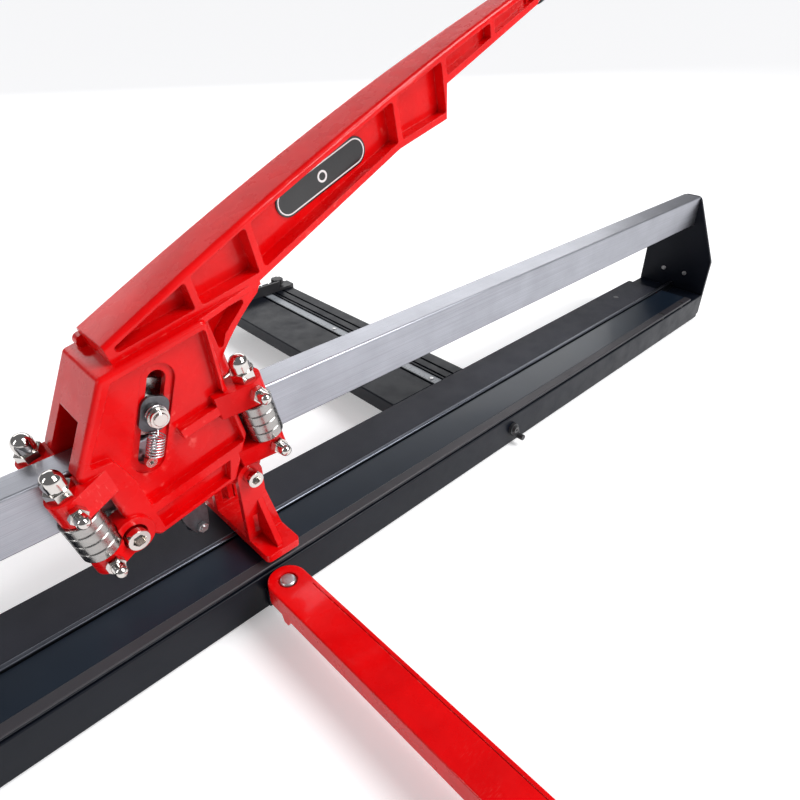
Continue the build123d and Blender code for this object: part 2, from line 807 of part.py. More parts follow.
save(guide_stack(guide_left, 1), "guide_rollers_front_left")
save(guide_stack(guide_right, 1), "guide_rollers_front_right")
save(guide_stack(guide_left, -1), "guide_rollers_rear_left")
save(guide_stack(guide_right, -1), "guide_rollers_rear_right")

corners = [(middle, facing) for middle in (guide_left, guide_right) for facing in (1, -1)]
with BuildPart() as guide_axles:
    for middle, facing in corners:
        plane = top_plane(middle, lower_lug_bottom, guide_out * facing)
        disc(plane, axle_radius, upper_lug_top - lower_lug_bottom)
        disc(plane.offset(upper_lug_top - lower_lug_bottom), axle_radius - 1, 10)
        disc(plane, axle_radius + 2.5, -2.0)
save(guide_axles, "guide_axles")

with BuildPart() as axle_cap_nuts:
    for middle, facing in corners:
        plane = top_plane(middle, upper_lug_top, guide_out * facing)
        cap_nut(plane, axle_nut_across, 8.5, axle_nut_height, axle_radius - 1 + running)
save(axle_cap_nuts, "axle_cap_nuts")

adjusters = [
    side_plane(middle, height, guide_out, facing)
    for middle, facing in corners
    for height in (adjuster_upper, adjuster_lower)
]
adjuster_start = axle_radius + 2 * running
with BuildPart() as adjuster_screws:
    for plane in adjusters:
        disc(plane.offset(adjuster_start), adjuster_radius, boss_radius + 7 - adjuster_start)
save(adjuster_screws, "adjuster_screws")

with BuildPart() as adjuster_cap_nuts:
    for plane in adjusters:
        seat = plane.offset(boss_radius)
        cap_nut(seat, adjuster_nut_across, 6.5, adjuster_nut_height, adjuster_radius + running)
save(adjuster_cap_nuts, "adjuster_cap_nuts")

# ================= Fulcrum roller =================
with BuildPart() as fulcrum_roller:
    plane = side_plane(*fulcrum_place, -fulcrum_roller_width / 2)
    disc(plane, fulcrum_roller_radius, fulcrum_roller_width, bore=axle_radius + running)
    chamfer(fulcrum_roller.edges().filter_by(GeomType.CIRCLE).group_by(SortBy.RADIUS)[-1], 0.8)
save(fulcrum_roller, "fulcrum_roller")

with BuildPart() as fulcrum_bolt:
    disc(side_plane(*fulcrum_place, -fulcrum_seat), axle_radius, 2 * fulcrum_seat)
    socket_head(side_plane(*fulcrum_place, fulcrum_seat), 9.0, 17.0, 10.0)
    disc(side_plane(*fulcrum_place, fulcrum_seat, facing=-1), axle_radius - 1, 12)
save(fulcrum_bolt, "fulcrum_bolt")

with BuildPart() as fulcrum_nut:
    plane = side_plane(*fulcrum_place, fulcrum_seat + 0.1, facing=-1)
    hexagon(plane, 17.0, 9.0, bore=axle_radius - 1 + running)
save(fulcrum_nut, "fulcrum_nut")

# ================= Scoring wheel =================
holder_top = bottom_edge - 0.1
with BuildPart() as wheel_holder:
    with BuildSketch(side_plane(out=-holder_half_depth)):
        with BuildLine():
            a, b = wheel_place
            Polyline(
                (a - holder_half_width, holder_top),
                (a + holder_half_width, holder_top),
                (a + holder_half_width, b + 16),
                (a + 7, b - 5),
                (a - 7, b - 5),
                (a - holder_half_width, b + 16),
                close=True,
            )
        make_face()
    extrude(amount=2 * holder_half_depth)
    slit = wheel_thickness / 2 + 0.3
    with BuildSketch(side_plane(out=-slit)):
        with Locations(wheel_place):
            Circle(wheel_radius + 1.5)
    extrude(amount=2 * slit, mode=Mode.SUBTRACT)
    disc(
        side_plane(*wheel_place, -holder_half_depth - 1),
        wheel_pin_radius + running,
        2 * holder_half_depth + 2,
        mode=Mode.SUBTRACT,
    )
    disc(top_plane(wheel_place[0], holder_top), holder_stem_radius, holder_stem_length)
    straight_edges = wheel_holder.edges().filter_by(GeomType.LINE)
    upright_edges = straight_edges.filter_by(lambda e: abs(e.tangent_at(0.5).dot(UP)) > 0.99)
    chamfer(upright_edges, 1.2)
save(wheel_holder, "wheel_holder")

with BuildPart() as scoring_wheel:
    with BuildSketch(Plane(origin=on_casting(*wheel_place), x_dir=FRONT, z_dir=ALONG)):
        with BuildLine():
            half = wheel_thickness / 2
            Polyline(
                (-half, wheel_pin_radius + running),
                (half, wheel_pin_radius + running),
                (half, wheel_radius - 2),
                (0.1, wheel_radius),
                (-0.1, wheel_radius),
                (-half, wheel_radius - 2),
                close=True,
            )
        make_face()
    revolve(axis=Axis(on_casting(*wheel_place), FRONT))
save(scoring_wheel, "scoring_wheel")

with BuildPart() as wheel_pin:
    out = holder_half_depth + 0.1
    disc(side_plane(*wheel_place, -out), wheel_pin_radius, 2 * out + 6)
    hexagon(side_plane(*wheel_place, out, facing=-1), 9.0, 3.5)
save(wheel_pin, "wheel_pin")

with BuildPart() as wheel_pin_nut:
    plane = side_plane(*wheel_place, out + 0.1)
    hexagon(plane, 9.0, 4.5, bore=wheel_pin_radius + running)
save(wheel_pin_nut, "wheel_pin_nut")

# ================= Handle grip and badges =================
with BuildPart() as handle_grip:
    with BuildSketch(grip_plane):
        Circle(grip_radius)
    extrude(amount=grip_length)
    ends = handle_grip.edges().filter_by(GeomType.CIRCLE)
    fillet(ends, 4)
    disc(grip_plane.offset(-1), grip_core_radius + running, grip_length - 3, mode=Mode.SUBTRACT)
    for number in range(7):
        ring = grip_plane.offset(30 + number * 15)
        disc(ring, grip_radius + 1, 3, bore=grip_radius - 1.2, mode=Mode.SUBTRACT)
save(handle_grip, "handle_grip")

badge_middle = 218.0
badge_height = (handle_top(badge_middle) + handle_bottom(badge_middle)) / 2
with BuildPart() as handle_badges:
    for facing in (1, -1):
        with BuildSketch(side_plane(badge_middle, badge_height, handle_web_half, facing)):
            SlotOverall(badge_length, badge_width, rotation=badge_tilt * facing)
        extrude(amount=1.2)
save(handle_badges, "handle_badges")

# ================= Breaker foot =================
pivot = on_casting(*breaker_place)
foot_bottom = ridge_z + foot_clearance
web_in = floor_half + rolling_gap
with BuildPart() as breaker_foot:
    with BuildSketch(Plane.XY.offset(foot_bottom)):
        with Locations((pivot.X + (foot_plate_left + foot_plate_right) / 2, 0)):
            RectangleRounded(foot_plate_right - foot_plate_left, 2 * foot_plate_half, 5)
    extrude(amount=foot_plate_height)
    plate_top = foot_bottom + foot_plate_height
    with BuildSketch(base_plane(pivot.X, 0, web_in)):
        Polygon(
            (-breaker_ear_radius, pivot.Z),
            (foot_plate_left, plate_top - 1),
            (foot_plate_right, plate_top - 1),
            (breaker_ear_radius, pivot.Z - 24),
            (breaker_ear_radius, pivot.Z),
            align=None,
        )
        with Locations((0, pivot.Z)):
            Circle(breaker_ear_radius)
            Circle(breaker_shaft_radius + running, mode=Mode.SUBTRACT)
        with Locations((3, plate_top + 17)):
            Rectangle(14, 22, mode=Mode.SUBTRACT)
    extrude(amount=breaker_web)
    with BuildSketch(Plane(origin=(pivot.X + foot_rib_x, 0, 0), x_dir=FRONT, z_dir=(-1, 0, 0))):
        Polygon(
            (web_in + 1, plate_top - 1),
            (foot_plate_half - 5, plate_top - 1),
            (foot_plate_half - 5, plate_top + 3),
            (web_in + breaker_web, plate_top + 44),
            (web_in + 1, plate_top + 44),
            align=None,
        )
    extrude(amount=foot_rib / 2, both=True)
    mirror(about=Plane.XZ)
save(breaker_foot, "breaker_foot")

breaker_out = web_in + breaker_web + rolling_gap
with BuildPart() as breaker_bolt:
    disc(side_plane(*breaker_place, -breaker_out), breaker_shaft_radius, 2 * breaker_out)
    socket_head(side_plane(*breaker_place, breaker_out), 7.6, 10.0, 8.0)
    disc(side_plane(*breaker_place, breaker_out, facing=-1), breaker_shaft_radius - 1, 9)
save(breaker_bolt, "breaker_bolt")

with BuildPart() as breaker_nut:
    plane = side_plane(*breaker_place, breaker_out + 0.1, facing=-1)
    hexagon(plane, 15.0, 8.0, bore=breaker_shaft_radius - 1 + running)
save(breaker_nut, "breaker_nut")

# ================= Front support arm =================
arm_half = front_arm_width / 2
arm_bottom = front_arm_top - front_arm_depth
pin_plate = front_arm_top - front_arm_wall - 3.5


def arm_outline(plane, inset):
    """Plan of the front arm: straight sides, round at the pivot, inset by a wall."""
    reach = front_arm_length - arm_half
    with BuildSketch(plane) as outline:
        with Locations((front_arm_x, front_arm_y)):
            Circle(arm_half - inset)
        with Locations((front_arm_x, front_arm_y - reach / 2)):
            Rectangle(front_arm_width - 2 * inset, reach)
    return outline.sketch


with BuildPart() as front_arm:
    extrude(arm_outline(Plane.XY.offset(arm_bottom), 0), amount=front_arm_depth)
    fillet(front_arm.edges().group_by(Axis.Z)[-1], 1.5)
    hollow = arm_outline(Plane.XY.offset(arm_bottom), front_arm_wall)
    extrude(hollow, amount=pin_plate - arm_bottom, mode=Mode.SUBTRACT)
    with BuildSketch(Plane.XY.offset(arm_bottom)):
        with Locations((front_arm_x, front_arm_y - front_arm_length / 2)):
            Rectangle(front_arm_width - 2 * front_arm_wall, front_arm_length - 2 * front_arm_width)
    extrude(amount=front_arm_depth - front_arm_wall, mode=Mode.SUBTRACT)
    with BuildSketch(Plane.XY.offset(front_arm_top - 0.8)):
        with Locations((front_arm_x + arm_half - 4.5, front_arm_y - front_arm_length / 2)):
            Rectangle(0.8, front_arm_length - 2 * arm_half)
    extrude(amount=2, mode=Mode.SUBTRACT)
    pin_spot = level_plane(front_arm_x, front_arm_y, pin_plate - 1)
    disc(pin_spot, arm_pin_radius + running, 30, mode=Mode.SUBTRACT)
    disc(pin_spot.offset(4.5), arm_pin_head_radius + 1.5, 30, mode=Mode.SUBTRACT)
    with BuildSketch(Plane.YZ.offset(front_arm_x - arm_half)):
        Polygon(*arm_tab, align=None)
    extrude(amount=front_arm_wall)
save(front_arm, "front_arm")

bracket_top = arm_bottom - 0.5
bracket_low = bracket_top - bracket_thickness
with BuildPart() as front_arm_bracket:
    with BuildSketch(Plane.XY.offset(bracket_low)):
        with Locations((front_arm_x, front_arm_y)):
            Circle(arm_half - 3)
        with Locations((front_arm_x, -half_width - 3)):
            Rectangle(bracket_width, 6)
        make_hull()
    extrude(amount=bracket_thickness)
    with BuildSketch(base_plane(front_arm_x, (bracket_low + 8) / 2 + 2, half_width)):
        Rectangle(bracket_width, bracket_low - 4)
    extrude(amount=bracket_thickness)
    spot = level_plane(front_arm_x, front_arm_y, bracket_top)
    disc(spot, 12, pin_plate - bracket_top - 0.4)
    disc(spot.offset(-20), arm_pin_radius + running, 50, mode=Mode.SUBTRACT)
save(front_arm_bracket, "front_arm_bracket")

with BuildPart() as front_arm_pin:
    pin_foot = level_plane(front_arm_x, front_arm_y, bracket_low - 0.2)
    pin_seat = level_plane(front_arm_x, front_arm_y, pin_plate + 3.7)
    disc(pin_foot, arm_pin_head_radius, -2.5)
    disc(pin_foot, arm_pin_radius, pin_seat.origin.Z - pin_foot.origin.Z)
    disc(pin_seat, arm_pin_head_radius, 3.6)
    fillet(front_arm_pin.edges().group_by(Axis.Z)[-1], 3.0)
save(front_arm_pin, "front_arm_pin")

# ================= Rear support arm =================
rear_start = half_width + rear_arm_gap
rear_end = rear_start + rear_arm_length
rear_bottom = platform_z - rear_arm_depth
rear_right = rear_arm_left + rear_arm_width
channel_x = rear_right - channel_inset
hollow_height = rear_arm_depth - 2 * rear_arm_wall - channel_depth
hollow_width = (rear_arm_width - 3 * rear_arm_wall) / 2
with BuildPart() as rear_arm:
    with BuildSketch(base_plane(0, 0, -rear_start)):
        with Locations((rear_arm_left + rear_arm_width / 2, platform_z - rear_arm_depth / 2)):
            box = Rectangle(rear_arm_width, rear_arm_depth)
            fillet(box.vertices(), 2)
        hollow_z = rear_bottom + rear_arm_wall + hollow_height / 2
        hollow_x = rear_arm_wall + hollow_width / 2
        with Locations((rear_arm_left + hollow_x, hollow_z), (rear_right - hollow_x, hollow_z)):
            Rectangle(hollow_width, hollow_height, mode=Mode.SUBTRACT)
        with Locations((channel_x, platform_z - channel_depth / 2)):
            Rectangle(ruler_width + 1, channel_depth, mode=Mode.SUBTRACT)
        with Locations(*[(channel_x + step, platform_z - groove_depth / 2) for step in arm_grooves]):
            Rectangle(groove_width, groove_depth, mode=Mode.SUBTRACT)
    extrude(amount=-rear_arm_length)
save(rear_arm, "rear_arm")

with BuildPart() as rear_arm_bars:
    for x in bar_places:
        start = base_plane(x, bar_height, rear_start - bar_reach, facing=-1)
        disc(start, bar_radius, bar_reach + bracket_length - 5)
save(rear_arm_bars, "rear_arm_bars")

with BuildPart() as rear_arm_brackets:
    for x in bar_places:
        with BuildSketch(base_plane(x, 0, -rear_start)):
            with Locations((0, (bar_height - bar_radius - 4 + rear_bottom) / 2)):
                Rectangle(bar_radius * 2 + 10, rear_bottom - bar_height + bar_radius + 4)
        extrude(amount=-bracket_length)
        bore = base_plane(x, bar_height, rear_start - 1, facing=-1)
        disc(bore, bar_radius + running, bracket_length - 3, mode=Mode.SUBTRACT)
save(rear_arm_brackets, "rear_arm_brackets")

ruler_z = platform_z - channel_depth
with BuildPart() as arm_ruler:
    with BuildSketch(Plane.XY.offset(ruler_z)):
        with Locations((channel_x, rear_start + rear_arm_length / 2)):
            Rectangle(ruler_width, rear_arm_length - 2)
        with Locations(*[(channel_x, rear_start + y) for y in ruler_screw_y]):
            Circle(1.6, mode=Mode.SUBTRACT)
    extrude(amount=ruler_height)
save(arm_ruler, "arm_ruler")

with BuildPart() as ruler_screws:
    for y in ruler_screw_y:
        spot = level_plane(channel_x, rear_start + y, ruler_z)
        disc(spot.offset(ruler_height), 3.0, 1.4)
        disc(spot, 1.5, ruler_height)
save(ruler_screws, "ruler_screws")

# ================= Measuring stop =================
stop_y = rear_start + rear_arm_length - stop_inset
clamp_x = channel_x + arm_grooves[-1]
clamp_y = stop_y + 3
with BuildPart() as measuring_stop:
    with BuildSketch(Plane.XY.offset(platform_z + 0.3)):
        with Locations((rear_arm_left + rear_arm_width / 2, stop_y)):
            RectangleRounded(rear_arm_width, stop_depth, 4)
        with Locations((clamp_x, clamp_y)):
            Circle(3.1, mode=Mode.SUBTRACT)
    extrude(amount=5)
    with BuildSketch(Plane.XY.offset(platform_z + 0.3)):
        with Locations((rear_arm_left + rear_arm_width / 2 - 12, stop_y - stop_depth / 2 + 2)):
            Rectangle(rear_arm_width - 30, 4)
    extrude(amount=stop_height)
    for side_x in (rear_arm_left - 0.4, rear_right + 0.4):
        reach = -4 if side_x < clamp_x else 4
        with BuildSketch(Plane.XY.offset(platform_z + 5.3)):
            with Locations((side_x + reach / 2, stop_y)):
                Rectangle(4, stop_depth - 6)
        extrude(amount=-18)
        with BuildSketch(Plane.XY.offset(platform_z + 5.3)):
            with Locations((side_x, stop_y)):
                Rectangle(8, stop_depth - 6)
        extrude(amount=-5)
save(measuring_stop, "measuring_stop")

with BuildPart() as stop_knob:
    spot = level_plane(clamp_x, clamp_y, platform_z + 5.4)
    disc(spot, 3.0, -4.6)
    disc(spot, 6.0, 4)
    with BuildSketch(spot.offset(4)):
        Circle(11)
        with PolarLocations(12.0, 8):
            Circle(2.2, mode=Mode.SUBTRACT)
    extrude(amount=9)
    fillet(stop_knob.faces().sort_by(Axis.Z)[-1].edges(), 1.0)
save(stop_knob, "stop_knob")

# ================= Lock lever of the rear arm =================
lever_out = half_width + 0.4
with BuildPart() as lock_lever:
    with BuildSketch(base_plane(lever_x, lever_z, lever_out)):
        Circle(8)
        with Locations((11, -16)):
            Circle(4)
        make_hull()
        Circle(bar_radius / 2 + running, mode=Mode.SUBTRACT)
    extrude(amount=4)
    disc(base_plane(lever_x + 11, lever_z - 16, lever_out + 3), 4, 9)
save(lock_lever, "lock_lever")

with BuildPart() as lever_pin:
    plane = base_plane(lever_x, lever_z, half_width)
    disc(plane, bar_radius / 2, 4.6)
    socket_head(plane.offset(4.6), 4.6, 3.4, 3.0)
save(lever_pin, "lever_pin")
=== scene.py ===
# %% [markdown]
# # A manual tile cutter
# This lesson dresses a finished engineering model of a tile cutter. The model gives every shape its true
# size and place in metres, so the lesson works on finishes, a few small pieces, light and a camera.

# %% Load the engineering model
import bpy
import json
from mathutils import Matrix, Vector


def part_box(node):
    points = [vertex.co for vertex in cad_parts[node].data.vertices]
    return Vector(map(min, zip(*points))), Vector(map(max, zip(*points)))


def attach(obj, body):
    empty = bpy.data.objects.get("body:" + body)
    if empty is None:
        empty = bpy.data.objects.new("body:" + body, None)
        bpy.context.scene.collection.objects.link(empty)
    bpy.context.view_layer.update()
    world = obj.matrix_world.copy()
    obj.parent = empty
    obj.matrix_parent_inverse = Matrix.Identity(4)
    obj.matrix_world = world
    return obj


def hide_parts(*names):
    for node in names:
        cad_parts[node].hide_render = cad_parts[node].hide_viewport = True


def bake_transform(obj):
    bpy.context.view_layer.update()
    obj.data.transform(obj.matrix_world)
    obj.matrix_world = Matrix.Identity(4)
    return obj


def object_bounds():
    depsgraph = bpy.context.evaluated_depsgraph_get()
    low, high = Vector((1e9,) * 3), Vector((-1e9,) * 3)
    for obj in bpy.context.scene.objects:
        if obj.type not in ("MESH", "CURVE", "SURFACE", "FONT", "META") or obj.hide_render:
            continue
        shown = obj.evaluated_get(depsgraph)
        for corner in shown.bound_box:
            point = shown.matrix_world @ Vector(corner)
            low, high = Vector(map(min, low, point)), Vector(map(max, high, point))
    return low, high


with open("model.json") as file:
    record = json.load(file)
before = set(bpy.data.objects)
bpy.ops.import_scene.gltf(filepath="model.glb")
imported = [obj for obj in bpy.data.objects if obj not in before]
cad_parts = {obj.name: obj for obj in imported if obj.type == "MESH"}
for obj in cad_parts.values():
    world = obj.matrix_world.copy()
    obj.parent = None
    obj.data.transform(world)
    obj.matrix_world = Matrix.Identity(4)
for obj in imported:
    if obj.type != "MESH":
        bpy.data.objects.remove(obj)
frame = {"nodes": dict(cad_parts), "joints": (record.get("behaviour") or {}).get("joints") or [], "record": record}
cad_box = [list(corner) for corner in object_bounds()]

import json
import math

import bmesh
import bpy
from mathutils import Vector

record = frame["record"]
joints = {joint["name"]: joint for joint in frame["joints"]}
print("pieces in the model:", len(frame["nodes"]))
print("box of the model:", cad_box)

# %% [markdown]
# The carriage leans back by a few degrees, so its parts don't line up with the world's axes. One joint
# turns about the truck axle and another slides along the slot, and both say where they are. Reading them
# is safer than typing the numbers again.

# %% Directions of the leaning carriage
MM = 0.001
FRONT = Vector((0, -1, 0))
axle = Vector(joints["handle_pitch"]["pos_m"])
slot_way = Vector(joints["slot_lift"]["axis"]).normalized()
up_carriage = Vector(joints["guide_spin_front_left"]["axis"]).normalized()
along_carriage = up_carriage.cross(FRONT).normalized()
print("axle at", axle, "carriage runs along", along_carriage)


# %% [markdown]
# Every finish here is built from nodes. A finish starts as one shader with its plain numbers set straight
# on it. Noise and bumps are then added where the real surface has them. These short helpers keep each
# finish readable: they add one node each and return the socket that the next one needs.

# %% Helpers for finishes
def new_finish(name, colour, roughness, metallic=0.0, coat=0.0, specular=0.5):
    """Make a material whose shader carries the plain numbers of a finish."""
    material = bpy.data.materials.new(name)
    material.use_nodes = True
    shader = material.node_tree.nodes["Principled BSDF"]
    shader.inputs["Base Color"].default_value = (*colour, 1)
    shader.inputs["Roughness"].default_value = roughness
    shader.inputs["Metallic"].default_value = metallic
    shader.inputs["Coat Weight"].default_value = coat
    shader.inputs["Coat Roughness"].default_value = 0.08
    shader.inputs["Specular IOR Level"].default_value = specular
    return material


def shader_of(material):
    """Find the shader that a finish feeds."""
    return material.node_tree.nodes["Principled BSDF"]


def feed(material, source, target):
    """Join an output socket to an input socket."""
    material.node_tree.links.new(source, target)


def surface_place(material, stretch=(1, 1, 1)):
    """Position on the piece in metres, stretched along each axis."""
    nodes = material.node_tree.nodes
    coordinates = nodes.new("ShaderNodeTexCoord")
    mapping = nodes.new("ShaderNodeMapping")
    mapping.inputs["Scale"].default_value = stretch
    feed(material, coordinates.outputs["Object"], mapping.inputs["Vector"])
    return mapping.outputs["Vector"]


def noise(material, place, scale, detail=3.0, rough=0.5):
    """Soft random pattern, larger scale for a finer grain."""
    node = material.node_tree.nodes.new("ShaderNodeTexNoise")
    node.inputs["Scale"].default_value = scale
    node.inputs["Detail"].default_value = detail
    node.inputs["Roughness"].default_value = rough
    feed(material, place, node.inputs["Vector"])
    return node.outputs["Fac"]


def rescale(material, value, low, high, new_low, new_high):
    """Map a value from one range to another, clamped."""
    node = material.node_tree.nodes.new("ShaderNodeMapRange")
    node.inputs["From Min"].default_value = low
    node.inputs["From Max"].default_value = high
    node.inputs["To Min"].default_value = new_low
    node.inputs["To Max"].default_value = new_high
    feed(material, value, node.inputs["Value"])
    return node.outputs["Result"]


def multiply(material, first, second):
    """Multiply two values."""
    node = material.node_tree.nodes.new("ShaderNodeMath")
    node.operation = "MULTIPLY"
    feed(material, first, node.inputs[0])
    feed(material, second, node.inputs[1])
    return node.outputs["Value"]


def mix_colours(material, factor, first, second):
    """Mix two colours, or a colour into one that is already mixed."""
    node = material.node_tree.nodes.new("ShaderNodeMix")
    node.data_type = "RGBA"
    feed(material, factor, node.inputs[0])
    for socket, colour in ((node.inputs[6], first), (node.inputs[7], second)):
        if isinstance(colour, tuple):
            socket.default_value = (*colour, 1)
        else:
            feed(material, colour, socket)
    return node.outputs[2]


def raise_surface(material, height, distance, strength=1.0, base=None):
    """Turn a height pattern into a bump, over another normal if one is given."""
    node = material.node_tree.nodes.new("ShaderNodeBump")
    node.inputs["Strength"].default_value = strength
    node.inputs["Distance"].default_value = distance
    feed(material, height, node.inputs["Height"])
    if base is not None:
        feed(material, base, node.inputs["Normal"])
    return node.outputs["Normal"]


print("finish helpers ready")


# %% [markdown]
# No real edge is perfectly sharp. A Bevel node reads the shape around each point and rounds the shading at
# edges, with no change to the mesh. The angle between that rounded normal and the true one also says how
# near an edge is, and that makes a mask for paint that has rubbed thin.

# %% Helpers for edges
def soft_edges(material, radius):
    """Normal that is rounded at the edges."""
    node = material.node_tree.nodes.new("ShaderNodeBevel")
    node.samples = 4
    node.inputs["Radius"].default_value = radius
    return node.outputs["Normal"]


def edge_mask(material, rounded, place, grain, least):
    """One at the edges and zero elsewhere, broken up by a grain."""
    nodes = material.node_tree.nodes
    geometry = nodes.new("ShaderNodeNewGeometry")
    dot = nodes.new("ShaderNodeVectorMath")
    dot.operation = "DOT_PRODUCT"
    feed(material, rounded, dot.inputs[0])
    feed(material, geometry.outputs["Normal"], dot.inputs[1])
    near = rescale(material, dot.outputs["Value"], 0.985, 0.86, 0.0, 1.0)
    patches = rescale(material, noise(material, place, grain, 4.0), least, least + 0.12, 0.0, 1.0)
    return multiply(material, near, patches)


print("edge helpers ready")

# %% [markdown]
# The castings wear a thick gloss red paint. Sprayed paint dries with a slight ripple called orange peel,
# which breaks up reflections. A fine noise bump gives that, a coat layer gives the wet gloss, and a slow
# noise shifts the red a little where the paint is thicker. Here and there the coat is scuffed by fine
# scratches across the handle, drawn by a stretched noise that a slow one lets through in patches.

# %% Red gloss paint
red_paint = new_finish("red_gloss_paint", (0.76, 0.0, 0.001), 0.28, coat=0.25, specular=0.14)
place = surface_place(red_paint)
rounded = soft_edges(red_paint, 1.3 * MM)
slow = noise(red_paint, place, 28, 4.0)
depth = rescale(red_paint, slow, 0.35, 0.65, 0.0, 1.0)
red = mix_colours(red_paint, depth, (0.62, 0.0, 0.001), (0.72, 0.001, 0.002))
rubbed = edge_mask(red_paint, rounded, place, 160, 0.56)
worn = mix_colours(red_paint, rubbed, red, (0.88, 0.07, 0.06))
scratches = noise(red_paint, surface_place(red_paint, (1, 14, 1)), 130, 5.0)
lines = rescale(red_paint, scratches, 0.60, 0.72, 0.0, 0.5)
areas = rescale(red_paint, noise(red_paint, place, 11, 2.0), 0.56, 0.66, 0.0, 1.0)
scuffed = mix_colours(red_paint, multiply(red_paint, lines, areas), worn, (0.92, 0.20, 0.17))
feed(red_paint, scuffed, shader_of(red_paint).inputs["Base Color"])
gloss = rescale(red_paint, noise(red_paint, place, 60, 5.0), 0.3, 0.7, 0.20, 0.36)
feed(red_paint, gloss, shader_of(red_paint).inputs["Roughness"])
peel = raise_surface(red_paint, noise(red_paint, place, 420, 2.0), 0.10 * MM, 0.55, rounded)
feed(red_paint, peel, shader_of(red_paint).inputs["Normal"])
print("made", red_paint.name)

# %% [markdown]
# The base, end plates and arms are black anodised or powder-coated aluminium. It is a blue-black with a
# fine satin grain, and its long edges show lighter lines where the coating is thin.

# %% Black coated aluminium
black_aluminium = new_finish("black_coated_aluminium", (0.004, 0.005, 0.009), 0.36, specular=0.16)
place = surface_place(black_aluminium)
rounded = soft_edges(black_aluminium, 1.0 * MM)
slow = noise(black_aluminium, surface_place(black_aluminium, (0.4, 1, 1)), 14, 5.0)
black = mix_colours(black_aluminium, slow, (0.002, 0.003, 0.006), (0.006, 0.008, 0.014))
rubbed = edge_mask(black_aluminium, rounded, place, 110, 0.50)
feed(
    black_aluminium,
    mix_colours(black_aluminium, rubbed, black, (0.06, 0.07, 0.085)),
    shader_of(black_aluminium).inputs["Base Color"],
)
satin = rescale(black_aluminium, noise(black_aluminium, place, 35, 6.0, 0.7), 0.3, 0.7, 0.28, 0.46)
feed(black_aluminium, satin, shader_of(black_aluminium).inputs["Roughness"])
grain = raise_surface(black_aluminium, noise(black_aluminium, place, 1400, 2.0), 0.05 * MM, 0.5, rounded)
feed(black_aluminium, grain, shader_of(black_aluminium).inputs["Normal"])
print("made", black_aluminium.name)


# %% [markdown]
# The rail is bare aluminium tube, brushed along its length. Brushing leaves thousands of fine parallel
# scratches. Noise that is squeezed across the rail and stretched along it draws the same streaks, in
# roughness, in bump and faintly in colour.

# %% Brushed rail and other bare metal
def streaked_metal(name, dark, light, roughness, stretch, depth, radius=0.8 * MM):
    """Bare metal with streaks along the axis whose stretch is smallest."""
    material = new_finish(name, light, roughness, metallic=1.0)
    lines = noise(material, surface_place(material, stretch), 1.0, 6.0, 0.65)
    clouds = noise(material, surface_place(material), 30, 3.0)
    streaks = rescale(material, lines, 0.3, 0.7, 0.3, 1.0)
    tone = multiply(material, streaks, rescale(material, clouds, 0.3, 0.7, 0.7, 1.0))
    feed(material, mix_colours(material, tone, dark, light), shader_of(material).inputs["Base Color"])
    dull = rescale(material, lines, 0.3, 0.7, roughness - 0.08, roughness + 0.10)
    feed(material, dull, shader_of(material).inputs["Roughness"])
    normal = raise_surface(material, lines, depth, 0.6, soft_edges(material, radius))
    feed(material, normal, shader_of(material).inputs["Normal"])
    print("made", material.name)
    return material


rail_metal = streaked_metal(
    "brushed_rail", (0.23, 0.235, 0.26), (0.47, 0.48, 0.53), 0.34, (5, 1900, 1900), 0.02 * MM
)
ridge_metal = streaked_metal(
    "ridge_aluminium", (0.03, 0.035, 0.045), (0.16, 0.17, 0.20), 0.30, (4, 900, 900), 0.02 * MM
)
bearing_steel = streaked_metal(
    "ground_bearing", (0.30, 0.29, 0.28), (0.44, 0.425, 0.41), 0.24, (260, 260, 260), 0.001 * MM
)
zinc_steel = streaked_metal(
    "zinc_plated_steel", (0.38, 0.38, 0.39), (0.60, 0.60, 0.60), 0.34, (500, 500, 500), 0.02 * MM
)
# The slide steel is a dark steel, and its two colours are darkened further as painted shade for the shadowed gap
# round the wheel holder.
slide_steel = streaked_metal(
    "slide_block_steel_with_painted_shade", (0.08, 0.083, 0.09), (0.17, 0.175, 0.19), 0.42, (400, 400, 400), 0.03 * MM
)
carbide = streaked_metal(
    "ground_carbide", (0.16, 0.17, 0.18), (0.34, 0.35, 0.37), 0.24, (700, 700, 700), 0.01 * MM, 0.2 * MM
)

# %% [markdown]
# The cap nuts and bolt heads are polished. Polished metal is mostly reflection, so its finish is simple:
# a pale metal, a low roughness that smears a little with handling, and rounded hexagon edges.

# %% Polished nuts and spring wire
polished = new_finish("polished_nuts", (0.62, 0.59, 0.56), 0.08, metallic=1.0)
place = surface_place(polished)
smears = rescale(polished, noise(polished, place, 90, 5.0), 0.4, 0.75, 0.05, 0.22)
feed(polished, smears, shader_of(polished).inputs["Roughness"])
ripple = noise(polished, place, 260, 2.0)
dents = raise_surface(polished, ripple, 0.03 * MM, 0.4, soft_edges(polished, 0.6 * MM))
feed(polished, dents, shader_of(polished).inputs["Normal"])

spring_wire = new_finish("bright_spring_wire", (0.72, 0.72, 0.74), 0.2, metallic=1.0)
drawn = noise(spring_wire, surface_place(spring_wire), 700, 3.0)
satin = rescale(spring_wire, drawn, 0.3, 0.7, 0.14, 0.3)
feed(spring_wire, satin, shader_of(spring_wire).inputs["Roughness"])
print("made", polished.name, "and", spring_wire.name)


# %% [markdown]
# Rubber, moulded plastic and the two platform covers share a recipe: a dark colour that drifts a little,
# and a grain whose size tells them apart. The rear cover has a coarse leathery grain that grips a tile,
# and the front one is smooth and slightly glossy.

